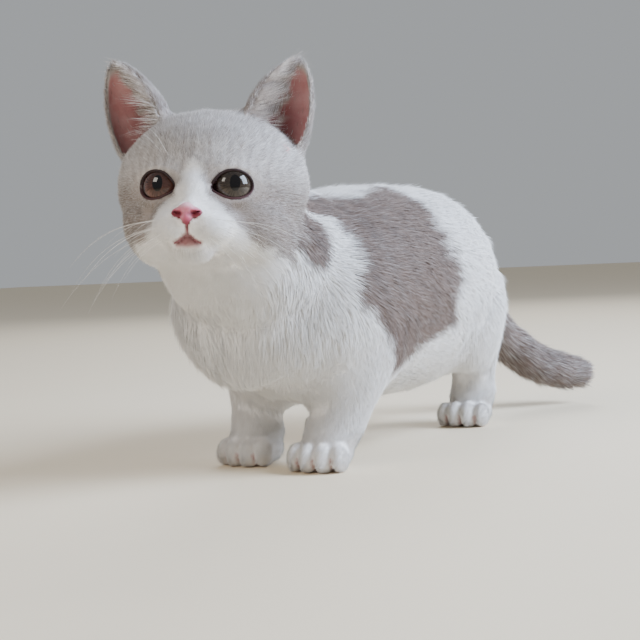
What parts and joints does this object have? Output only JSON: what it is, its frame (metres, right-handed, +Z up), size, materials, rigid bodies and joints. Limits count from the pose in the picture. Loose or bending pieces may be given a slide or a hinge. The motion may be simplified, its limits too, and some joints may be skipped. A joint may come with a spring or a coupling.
{
  "type": "munchkin cat",
  "caption": "Still life-size munchkin kitten standing on short legs, long low body, round head turned and raised, upright cupped ears, large eyes, tail trailing down behind.",
  "frame": {"origin": "middle of the bounding box's base, on the floor", "axes": "+Z up, the kitten faces -Y with its tail toward +Y, its left side is +X"},
  "size_m": [0.0926, 0.3138, 0.1614],
  "materials": {
    "grey_coat": "short dense fur, grey with a warm lilac cast",
    "white_coat": "short dense fur, white",
    "nose_leather": "bare moist skin, rose pink",
    "eye": "wet gloss, brown iris"
  },
  "bodies": {
    "root": {"head": "grey_coat", "nose": "nose_leather", "ear_left": "grey_coat", "ear_right": "grey_coat", "eye_left": "eye", "eye_right": "eye", "neck": "white_coat", "torso": "white_coat", "foreleg_left": "white_coat", "foreleg_right": "white_coat", "forepaw_left": "white_coat", "forepaw_right": "white_coat", "hindleg_left": "white_coat", "hindleg_right": "white_coat", "hindpaw_left": "white_coat", "hindpaw_right": "white_coat", "tail_root": "grey_coat", "tail_middle": "grey_coat", "tail_tip": "grey_coat"}
  },
  "joints": []
}
